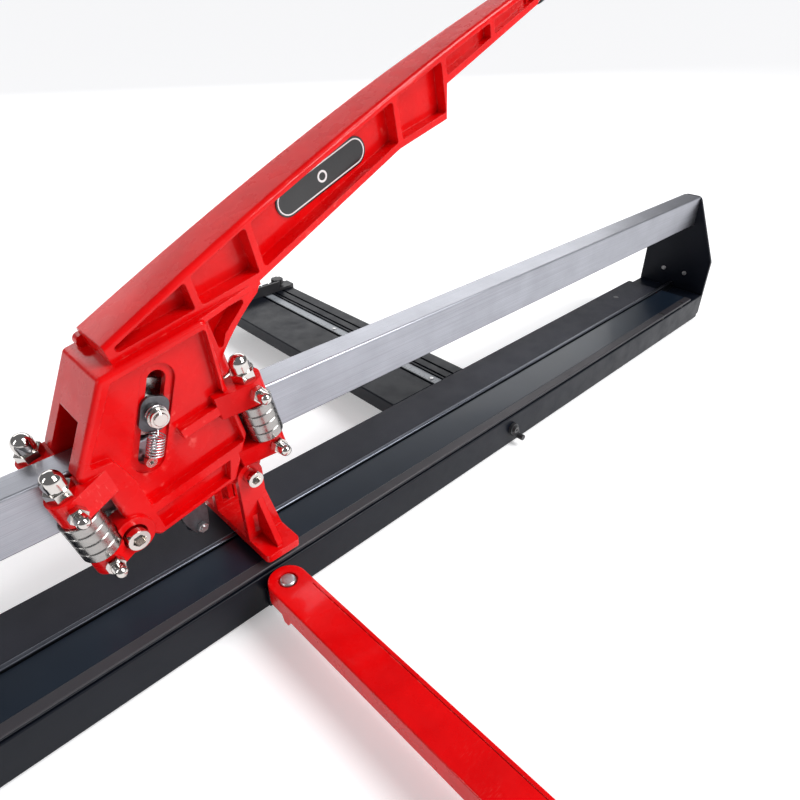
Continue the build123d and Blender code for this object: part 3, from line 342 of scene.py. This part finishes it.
# %% Rubber, plastic and platform covers
def moulded(name, dark, light, roughness, grain_scale, grain_depth, coat=0.0, specular=0.4, patch=0.06):
    """Moulded surface with a grain of its own size and depth, its gloss patchy by the given amount."""
    material = new_finish(name, dark, roughness, coat=coat, specular=specular)
    place = surface_place(material)
    drift = rescale(material, noise(material, place, 9, 3.0), 0.2, 0.8, 0.0, 1.0)
    feed(material, mix_colours(material, drift, dark, light), shader_of(material).inputs["Base Color"])
    clouds = noise(material, place, 45, 4.0)
    dull = rescale(material, clouds, 0.2, 0.8, roughness - patch, roughness + patch)
    feed(material, dull, shader_of(material).inputs["Roughness"])
    grain = noise(material, place, grain_scale, 4.0, 0.6)
    normal = raise_surface(material, grain, grain_depth, 0.7, soft_edges(material, 0.6 * MM))
    feed(material, normal, shader_of(material).inputs["Normal"])
    print("made", material.name)
    return material


foot_rubber = moulded(
    "foot_rubber", (0.015, 0.015, 0.016), (0.03, 0.03, 0.032), 0.75, 900, 0.15 * MM
)
grip_rubber = moulded(
    "grip_rubber", (0.014, 0.014, 0.016), (0.028, 0.028, 0.03), 0.6, 1100, 0.12 * MM
)
rear_pad = moulded(
    "rear_platform_cover", (0.009, 0.010, 0.016), (0.020, 0.021, 0.031), 0.50, 1300, 0.22 * MM, 0.0, 0.22
)
front_pad = moulded(
    "front_platform_cover", (0.004, 0.008, 0.015), (0.008, 0.015, 0.027), 0.30, 500, 0.02 * MM,
    coat=0.12, specular=0.3, patch=0.02
)
edge_strip = moulded(
    "front_edge_strip", (0.018, 0.017, 0.021), (0.050, 0.046, 0.052), 0.40, 700, 0.06 * MM, 0.0, 0.3
)
black_plastic = moulded(
    "black_plastic", (0.016, 0.016, 0.018), (0.03, 0.03, 0.033), 0.45, 1200, 0.06 * MM
)
badge_black = moulded(
    "badge_black", (0.008, 0.008, 0.009), (0.012, 0.012, 0.013), 0.22, 300, 0.01 * MM, 0.4
)
badge_white = moulded("badge_white", (0.72, 0.72, 0.72), (0.80, 0.80, 0.80), 0.35, 500, 0.01 * MM)
ruler_face = moulded("ruler_face", (0.22, 0.24, 0.26), (0.32, 0.34, 0.37), 0.35, 700, 0.02 * MM)
dark_steel = moulded(
    "black_oxide_steel", (0.02, 0.02, 0.022), (0.05, 0.05, 0.052), 0.34, 900, 0.03 * MM, 0.0, 0.6
)

# %% [markdown]
# The model's record says which finish each piece takes, by slot. A table from slot to material dresses
# every piece in one loop, and a piece added later uses the same table.

# %% Dress every piece
finish_of_slot = {
    "red_paint": red_paint,
    "black_aluminium": black_aluminium,
    "brushed_aluminium": rail_metal,
    "ridge_aluminium": ridge_metal,
    "chrome": polished,
    "zinc_steel": zinc_steel,
    "dark_screw": dark_steel,
    "bearing_steel": bearing_steel,
    "slide_steel": slide_steel,
    "spring_steel": spring_wire,
    "carbide": carbide,
    "foot_rubber": foot_rubber,
    "grip_rubber": grip_rubber,
    "rear_pad": rear_pad,
    "front_pad": front_pad,
    "edge_strip": edge_strip,
    "badge": badge_black,
    "ruler": ruler_face,
    "black_plastic": black_plastic,
}
for subpart in record["subparts"]:
    piece = frame["nodes"][subpart["node"]]
    piece.data.materials.clear()
    piece.data.materials.append(finish_of_slot[subpart["material_slot"]])
print("dressed", len(record["subparts"]), "pieces")


# %% [markdown]
# New pieces are built as meshes. Three makers cover them all: a bent wire, a turned shape like a grip, and
# a flat outline with a little thickness. Each piece then gets its finish and, where it has one, the body it
# rides on, so it moves as the real one would.

# %% Makers for new pieces
def finished_piece(name, mesh, slot_name, body, material=None, smooth=True):
    """Turn a mesh into a piece with a finish that rides on a body."""
    piece = bpy.data.objects.new(name, mesh)
    bpy.context.scene.collection.objects.link(piece)
    mesh.materials.append(material or finish_of_slot[slot_name])
    for polygon in mesh.polygons:
        polygon.use_smooth = smooth
    if body:
        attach(piece, body)
    print("made", name, "with", len(mesh.polygons), "faces")
    return piece


def bent_wire(name, points, radius):
    """Mesh of a round wire that runs smoothly through points."""
    curve = bpy.data.curves.new(name + "_line", "CURVE")
    curve.dimensions = "3D"
    curve.bevel_depth = radius
    curve.bevel_resolution = 2
    curve.use_fill_caps = True
    spline = curve.splines.new("POLY")
    spline.points.add(len(points) - 1)
    for spot, point in zip(spline.points, points):
        spot.co = (*point, 1)
    holder = bpy.data.objects.new(name + "_line", curve)
    bpy.context.scene.collection.objects.link(holder)
    mesh = bpy.data.meshes.new_from_object(holder)
    bpy.data.objects.remove(holder)
    mesh.name = name
    return mesh


def turned(name, start, axis, profile, sides=40):
    """Mesh of a shape turned about an axis, from pairs of distance along it and radius."""
    axis = axis.normalized()
    side = axis.orthogonal().normalized()
    other = axis.cross(side)
    model = bmesh.new()
    rings = []
    for distance, radius in profile:
        ring = []
        for number in range(sides):
            angle = 2 * math.pi * number / sides
            out = side * math.cos(angle) + other * math.sin(angle)
            ring.append(model.verts.new(start + axis * distance + out * radius))
        rings.append(ring)
    for low, high in zip(rings, rings[1:]):
        for number in range(sides):
            after = (number + 1) % sides
            model.faces.new((low[number], low[after], high[after], high[number]))
    model.faces.new(reversed(rings[0]))
    model.faces.new(rings[-1])
    bmesh.ops.recalc_face_normals(model, faces=model.faces)
    mesh = bpy.data.meshes.new(name)
    model.to_mesh(mesh)
    model.free()
    return mesh


def box_mesh(model, corner, sizes):
    """Add a thin block to a mesh, from its lowest corner."""
    made = bmesh.ops.create_cube(model, size=1.0)
    for vertex in made["verts"]:
        for axis in range(3):
            vertex.co[axis] = corner[axis] + (vertex.co[axis] + 0.5) * sizes[axis]


print("makers ready")


# %% [markdown]
# A lift spring pulls the carriage up its slot on each side. It is an extension spring, a close coil with
# a hook at each end: one round the axle and one round a screw at the slot's foot. A helix written as a
# formula gives the coil, and a short arc gives each hook.

# %% Lift springs
spring_wire_radius = 0.6 * MM
spring_coil_radius = 6.7 * MM
spring_turns = 8
steps_a_turn = 20
hook_steps = 14
screw_hook_radius = 3.9 * MM
screw_hook_reach = 27.5 * MM
axle_hook_radius = 8.8 * MM
axle_hook_reach = 30.4 * MM
coil_above_screw = 7.0 * MM
coil_below_hook = 5.0 * MM


def spring_points(facing, low, high, out):
    """Centre line of a lift spring, from the screw's hook up the coil to the axle's hook."""
    away = FRONT * facing
    side = slot_way.cross(FRONT).normalized()
    points = []
    for number in range(hook_steps + 1):
        share = number / hook_steps
        angle = math.radians(-200 + 290 * share)
        reach = screw_hook_reach + (out - screw_hook_reach) * share ** 3
        ring = side * math.cos(angle) + slot_way * math.sin(angle)
        points.append(low + away * reach + ring * screw_hook_radius)
    coil_low = low + slot_way * coil_above_screw + away * out
    coil_length = (high - low).length - coil_above_screw - axle_hook_radius - coil_below_hook
    steps = steps_a_turn * spring_turns
    for number in range(steps + 1):
        angle = 2 * math.pi * number / steps_a_turn
        # The first and last stretch of the coil closes in towards its hook.
        swell = min(1, 0.25 + number / hook_steps, 0.25 + (steps - number) / hook_steps)
        radius = spring_coil_radius * swell
        climb = slot_way * coil_length * number / steps
        points.append(coil_low + climb + side * math.sin(angle) * radius + away * math.cos(angle) * radius)
    for number in range(hook_steps + 1):
        share = number / hook_steps
        angle = math.radians(-90 + 270 * share)
        reach = axle_hook_reach + (out - axle_hook_reach) * (1 - share) ** 3
        ring = side * math.cos(angle) + slot_way * math.sin(angle)
        points.append(high + away * reach + ring * axle_hook_radius)
    return points


screw_low, screw_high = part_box("spring_screws")
screw_middle = (screw_low + screw_high) / 2
for facing, word in ((1, "front"), (-1, "rear")):
    node = "lift_spring_" + word
    spring_low, spring_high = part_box(node)
    out = abs((spring_low.y + spring_high.y) / 2)
    line = spring_points(facing, screw_middle, axle, out)
    wire_mesh = bent_wire(node + "_coil", line, spring_wire_radius)
    spring = finished_piece(node + "_coil", wire_mesh, "spring_steel", None)
    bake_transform(spring)
    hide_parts(node)

# %% [markdown]
# Each platform floats on rubber bushes. Pressing a tile down squashes them by two millimetres, while the
# model's own bushes keep their height. A copy takes the place of each set.

# %% Platform bushes
for word in ("front", "rear"):
    node = word + "_platform_springs"
    bush_mesh = frame["nodes"][node].data.copy()
    bush_mesh.transform(frame["nodes"][node].matrix_world)
    bush_mesh.materials.clear()
    bushes = finished_piece(word + "_soft_bushes", bush_mesh, "foot_rubber", None, smooth=False)
    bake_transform(bushes)
    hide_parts(node)

# %% [markdown]
# The handle ends in a rubber sleeve with soft ribs for the palm. Turning a profile round the handle's axis
# is the natural way to make it, because the real one is moulded round. A subdivision modifier then softens
# the ribs. The axis comes from the corners of the model's plain sleeve.

# %% Handle grip
grip_tilt = math.radians(11.5)
plain_foot = 12 * MM
plain_end = 12 * MM
ribs_start = 16 * MM
ribs_end = 18 * MM
rib_pitch = 9 * MM

grip_low, grip_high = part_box("handle_grip")
grip_radius = (grip_high.y - grip_low.y) / 2
groove_radius = grip_radius * 0.90
rib_radius = grip_radius * 0.985
grip_angle = math.atan2(along_carriage.z, along_carriage.x) + grip_tilt
grip_axis = Vector((math.cos(grip_angle), 0, math.sin(grip_angle)))
grip_middle = (grip_low + grip_high) / 2
grip_length = (grip_high.x - grip_low.x - 2 * grip_radius * grip_axis.z) / grip_axis.x
grip_start = grip_middle - grip_axis * grip_length / 2
profile = [(0, grip_radius * 0.80), (1 * MM, grip_radius * 0.96)]
profile += [(4 * MM, grip_radius), (plain_foot, grip_radius)]
for number in range(int((grip_length - ribs_start - ribs_end) / rib_pitch)):
    foot = ribs_start + number * rib_pitch
    profile += [(foot, groove_radius), (foot + 1.5 * MM, groove_radius)]
    profile += [(foot + 3 * MM, rib_radius), (foot + 7.5 * MM, rib_radius)]
profile += [(grip_length - plain_end, grip_radius), (grip_length - 3 * MM, grip_radius)]
profile += [(grip_length - 0.5 * MM, groove_radius), (grip_length, grip_radius * 0.6)]
grip_mesh = turned("ribbed_grip", grip_start, grip_axis, profile)
grip = finished_piece("ribbed_grip", grip_mesh, "grip_rubber", "carriage")
grip.modifiers.new("soften", "SUBSURF").levels = 1
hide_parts("handle_grip")


# %% [markdown]
# Each side of the handle has a dark badge with a light border. The badge here is plain: a border and a
# ring in the middle, with no words. Both are flat outlines, so they are made as strips between two closed
# lines and given a hair of thickness.

# %% Badge borders
def stadium(centre, along, across, half_length, half_width, corners=12):
    """Points round a stadium outline."""
    points = []
    straight = half_length - half_width
    for sign in (1, -1):
        for number in range(corners + 1):
            angle = math.pi * number / corners - math.pi / 2
            reach = along * sign * (straight + half_width * math.cos(angle))
            points.append(centre + reach + across * sign * half_width * math.sin(angle))
    return points


def strip(model, outer, inner, lift):
    """Add a raised strip between two outlines with equal numbers of points."""
    count = len(outer)
    rings = []
    for outline, height in ((outer, 0), (outer, 1), (inner, 1), (inner, 0)):
        rings.append([model.verts.new(point + lift * height) for point in outline])
    for first, second in zip(rings, rings[1:] + rings[:1]):
        for number in range(count):
            after = (number + 1) % count
            model.faces.new((first[number], first[after], second[after], second[number]))


badge_tilt = math.radians(10)
badge_half_length = 50.6 * MM
badge_half_width = 11.1 * MM
ring_radius = 5.2 * MM
border_width = 1.2 * MM
ring_width = 1.8 * MM
print_height = 0.25 * MM

badge_low, badge_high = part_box("handle_badges")
badge_angle = math.atan2(along_carriage.z, along_carriage.x) + badge_tilt
badge_along = Vector((math.cos(badge_angle), 0, math.sin(badge_angle)))
badge_across = Vector((-badge_along.z, 0, badge_along.x))
badge_middle = (badge_low + badge_high) / 2
model = bmesh.new()
for face_y, way in ((badge_low.y, -1), (badge_high.y, 1)):
    centre = Vector((badge_middle.x, face_y, badge_middle.z))
    lift = Vector((0, way * print_height, 0))
    border_and_ring = (
        (badge_half_length, badge_half_width, border_width),
        (ring_radius, ring_radius, ring_width),
    )
    for half_length, half_width, width in border_and_ring:
        outer = stadium(centre, badge_along, badge_across, half_length, half_width)
        inner = stadium(centre, badge_along, badge_across, half_length - width, half_width - width)
        strip(model, outer, inner, lift)
bmesh.ops.recalc_face_normals(model, faces=model.faces)
badge_mesh = bpy.data.meshes.new("badge_borders")
model.to_mesh(badge_mesh)
model.free()
finished_piece("badge_borders", badge_mesh, "badge", "carriage", badge_white, smooth=False)

# %% [markdown]
# The wide rear arm carries a scale for repeated cuts. Its marks are printed, and here each is a very thin
# block: short ones every five millimetres and longer ones every ten and fifty.

# %% Ruler marks
mark_pitch = 5 * MM
mark_width = 0.5 * MM
mark_margin = 0.5 * MM
mark_height = 0.1 * MM
short_mark = 4.5 * MM
middle_mark = 7 * MM
long_mark = 11 * MM

ruler_low, ruler_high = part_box("arm_ruler")
model = bmesh.new()
for number in range(int((ruler_high.y - ruler_low.y - 2 * mark_pitch) / mark_pitch)):
    reach = short_mark
    if number % 2 == 0:
        reach = middle_mark
    if number % 10 == 0:
        reach = long_mark
    mark_y = ruler_low.y + (number + 1) * mark_pitch
    corner = (ruler_low.x + mark_margin, mark_y, ruler_high.z - mark_height / 2)
    box_mesh(model, corner, (reach, mark_width, mark_height))
marks_mesh = bpy.data.meshes.new("ruler_marks")
model.to_mesh(marks_mesh)
model.free()
finished_piece("ruler_marks", marks_mesh, "ruler", "rear_arm", badge_black, smooth=False)

# %% [markdown]
# A pale floor and soft lamps show a dark tool well. The floor sits just under the rubber feet and isn't
# part of the cutter. It glows a little, as a light table does, so that it stays white in the distance and
# its shadows stay faint. Large area lamps give soft shadows and long reflections on the paint and the rail.

# %% Floor
floor_reach = 60.0
floor_gap = 0.5 * MM
floor_glow = 0.32

model = bmesh.new()
bmesh.ops.create_grid(model, x_segments=1, y_segments=1, size=floor_reach)
floor_mesh = bpy.data.meshes.new("studio_floor")
model.to_mesh(floor_mesh)
model.free()
floor = bpy.data.objects.new("studio_floor", floor_mesh)
floor.location.z = cad_box[0][2] - floor_gap
bpy.context.scene.collection.objects.link(floor)
floor_finish = new_finish("pale_floor", (0.86, 0.86, 0.87), 0.7, specular=0.2)
shader_of(floor_finish).inputs["Emission Color"].default_value = (1, 1, 1, 1)
shader_of(floor_finish).inputs["Emission Strength"].default_value = floor_glow
speckle = noise(floor_finish, surface_place(floor_finish), 40, 3.0)
dull = rescale(floor_finish, speckle, 0.3, 0.7, 0.65, 0.75)
feed(floor_finish, dull, shader_of(floor_finish).inputs["Roughness"])
floor_mesh.materials.append(floor_finish)
print("floor at", floor.location.z)


# %% [markdown]
# A wide, soft sun from the front right lights the floor evenly, however far it runs. It brightens the broad
# side and the top of the carriage and leaves the handle's pockets dark. Polished nuts and gloss paint need
# something to mirror, so three softboxes stand round the tool, and the sky is kept dim so they stay crisp.

# %% Lamps and surroundings
def aim(holder, place, target):
    """Place a lamp and turn it to face a target."""
    holder.location = place
    holder.rotation_euler = (Vector(target) - Vector(place)).to_track_quat("-Z", "Y").to_euler()
    bpy.context.scene.collection.objects.link(holder)
    print("lamp", holder.name, "at", place)


def long_lamp(name, place, width, height, power):
    """Long softbox that faces the carriage."""
    lamp = bpy.data.lights.new(name, "AREA")
    lamp.shape = "RECTANGLE"
    lamp.size = width
    lamp.size_y = height
    lamp.energy = power
    aim(bpy.data.objects.new(name, lamp), place, axle)


sun = bpy.data.lights.new("soft_sun", "SUN")
sun.energy = 2.3
sun.angle = math.radians(28)
aim(bpy.data.objects.new("soft_sun", sun), (0.75, -0.85, 1.35), (0, 0, 0))
long_lamp("front_softbox", (0.55, -1.5, 1.0), 0.9, 0.25, 12)
long_lamp("rear_softbox", (1.2, 3.2, 1.8), 6.5, 1.3, 70)
long_lamp("left_softbox", (-1.9, 0.1, 1.2), 0.3, 1.2, 8)

world = bpy.data.worlds.new("studio")
world.use_nodes = True
world.node_tree.nodes["Background"].inputs["Color"].default_value = (0.95, 0.96, 1.0, 1)
world.node_tree.nodes["Background"].inputs["Strength"].default_value = 0.20
bpy.context.scene.world = world
bpy.context.scene.view_settings.view_transform = "Standard"

# %% [markdown]
# The camera stands close to the left end of the tool and looks along it, over the front edge. A short lens
# makes the near parts large and lets the rail run away to the right.

# %% Camera
camera = bpy.data.cameras.new("camera")
camera.lens = 28.43
camera.sensor_width = 36.0
camera.clip_start = 0.01
camera_holder = bpy.data.objects.new("camera", camera)
camera_holder.location = (-0.460, -0.4531, 0.5215)
camera_holder.rotation_euler = (math.radians(57.02), 0, math.radians(-44.11))
bpy.context.scene.collection.objects.link(camera_holder)
bpy.context.scene.camera = camera_holder
print("camera at", camera_holder.location)
